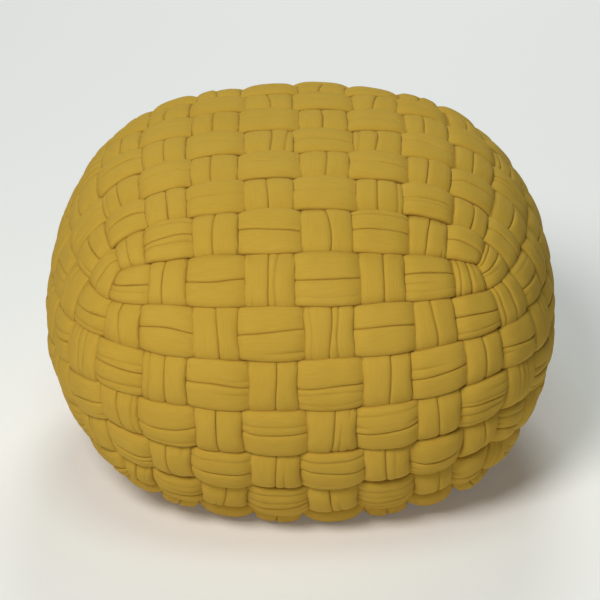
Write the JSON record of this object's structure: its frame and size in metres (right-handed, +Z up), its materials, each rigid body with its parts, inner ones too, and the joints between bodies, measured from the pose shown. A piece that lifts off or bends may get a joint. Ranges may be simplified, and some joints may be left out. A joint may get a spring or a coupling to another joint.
{
  "type": "woven pouf footstool",
  "caption": "Low round pouf footstool, filled and covered in a chunky over-and-under weave of soft twin-tube fabric bands, with a flat base; for resting feet or sitting.",
  "frame": {"origin": "on the floor, under the middle of the footstool's bounding box", "axes": "+Z up; the face towards the camera in the picture is -Y; +X is to its right"},
  "size_m": [0.5082, 0.508, 0.3499],
  "materials": {
    "jersey": "matte mustard cotton jersey with a fine knit grain"
  },
  "bodies": {
    "root": {"woven_pouf": "jersey"}
  },
  "joints": []
}
